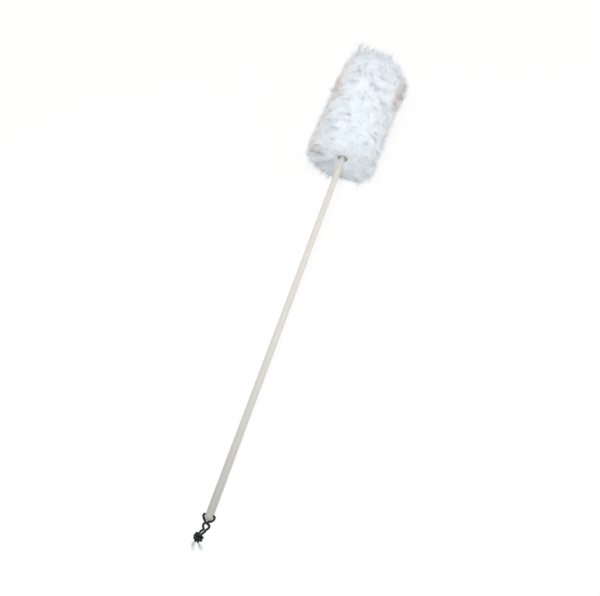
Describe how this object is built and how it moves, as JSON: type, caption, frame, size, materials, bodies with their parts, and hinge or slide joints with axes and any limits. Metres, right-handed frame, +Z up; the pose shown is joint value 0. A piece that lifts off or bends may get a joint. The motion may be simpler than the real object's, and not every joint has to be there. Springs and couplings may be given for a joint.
{
  "type": "feather duster",
  "caption": "Long-handled feather duster: tapered wooden pole, dense cylinder of short white plumes, knotted cord loop at the butt.",
  "frame": {"origin": "on the surface that the duster lies on, under the middle of the box of the duster without its cord", "axes": "+X along the surface towards the plumed head, +Z up; the pole's axis rises towards the head by about 4 degrees"},
  "size_m": [1.242, 0.162, 0.164],
  "materials": {
    "pale_wood": "pale wood under thin clear lacquer",
    "grey_collar": "matt dark grey",
    "white_plume": "soft white plumage with a cool cast",
    "thread": "wound natural thread",
    "black_cord": "black waxed cord with pale frayed ends"
  },
  "bodies": {
    "duster": {"handle": "pale_wood", "collar": "grey_collar", "plume_row_01": "white_plume", "plume_row_02": "white_plume", "plume_row_03": "white_plume", "plume_row_04": "white_plume", "plume_row_05": "white_plume", "plume_row_06": "white_plume", "plume_row_07": "white_plume", "plume_row_08": "white_plume", "plume_row_09": "white_plume", "plume_row_10": "white_plume", "plume_row_11": "white_plume", "plume_row_12": "white_plume", "tip_tuft": "white_plume", "binding_01": "thread", "binding_02": "thread", "binding_03": "thread", "binding_04": "thread", "binding_05": "thread", "binding_06": "thread", "binding_07": "thread", "binding_08": "thread", "binding_09": "thread", "binding_10": "thread", "binding_11": "thread", "binding_12": "thread", "tip_binding": "thread"},
    "cord": {"hang_cord": "black_cord"}
  },
  "joints": [
    {"name": "cord_swing", "type": "hinge", "parent": "duster", "child": "cord", "pos_m": [-0.57605, 0.00043, 0.00844], "axis": [0, 1, 0], "range_deg": [-110, 130]}
  ]
}
